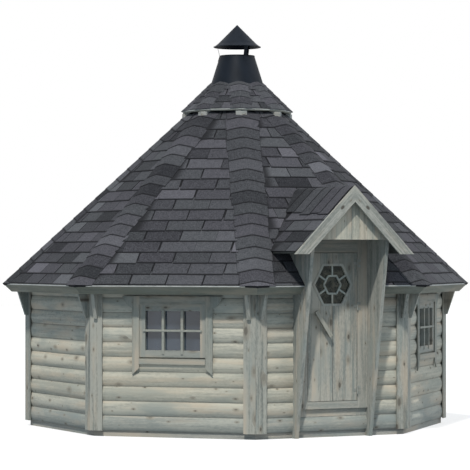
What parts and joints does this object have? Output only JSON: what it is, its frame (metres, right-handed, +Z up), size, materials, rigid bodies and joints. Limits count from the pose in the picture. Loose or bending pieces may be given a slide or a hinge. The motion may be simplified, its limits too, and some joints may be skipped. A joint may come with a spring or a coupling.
{
  "type": "octagonal grill cabin",
  "caption": "Octagonal log grill cabin with a shingled pyramid roof, a raised vent hat, a metal smoke stack with a cowl, and a plank door under a porch gable.",
  "frame": {"origin": "on the ground in the middle of the octagon, on the underside of the middle floor bearer", "axes": "+Z up, -Y out through the door, +X to the right as one faces the door from outside"},
  "size_m": [5.0504, 5.3034, 4.6855],
  "materials": {
    "board_wood": "grey-green stained planed pine boards",
    "floor_wood": "bare pine floor boards",
    "log_wood": "grey-green stained pine logs with a rounded face",
    "window_glass": "clear glass, dark from outside",
    "hinge_steel": "plain zinc-grey steel",
    "roof_covering": "boards under charcoal felt shingles",
    "dark_metal": "satin blue-black sheet metal"
  },
  "bodies": {
    "cabin": {"base_frame": "board_wood", "floor_bearers": "board_wood", "wall_plates": "board_wood", "corner_boards": "board_wood", "eave_brackets": "board_wood", "window_frame_left": "board_wood", "window_trim_left": "board_wood", "window_frame_right": "board_wood", "window_trim_right": "board_wood", "door_frame": "board_wood", "threshold": "board_wood", "porch_cheeks": "board_wood", "porch_ceiling": "board_wood", "porch_gable": "board_wood", "barge_boards": "board_wood", "fascia_boards": "board_wood", "hat_blocks": "board_wood", "floor_deck": "floor_wood", "front_wall_left": "log_wood", "front_wall_right": "log_wood", "front_wall_sill": "log_wood", "wall_front_right": "log_wood", "wall_right": "log_wood", "wall_back_right": "log_wood", "wall_back": "log_wood", "wall_back_left": "log_wood", "wall_left": "log_wood", "wall_front_left": "log_wood", "window_glass_left": "window_glass", "window_glass_right": "window_glass", "frame_hinges": "hinge_steel", "porch_roof": "roof_covering", "roof_front": "roof_covering", "roof_slopes": "roof_covering", "vent_hat": "roof_covering", "chimney_stack": "dark_metal", "cowl_straps": "dark_metal", "chimney_cowl": "dark_metal"},
    "door": {"door_leaf": "board_wood", "door_window_frame": "board_wood", "door_window_glass": "window_glass", "door_handle": "board_wood", "door_hinges": "hinge_steel"}
  },
  "joints": [
    {"name": "door_hinge", "type": "hinge", "parent": "cabin", "child": "door", "pos_m": [0.3085, -2.29155, 0.394], "axis": [0, 0, 1], "range_deg": [0, 95]}
  ]
}
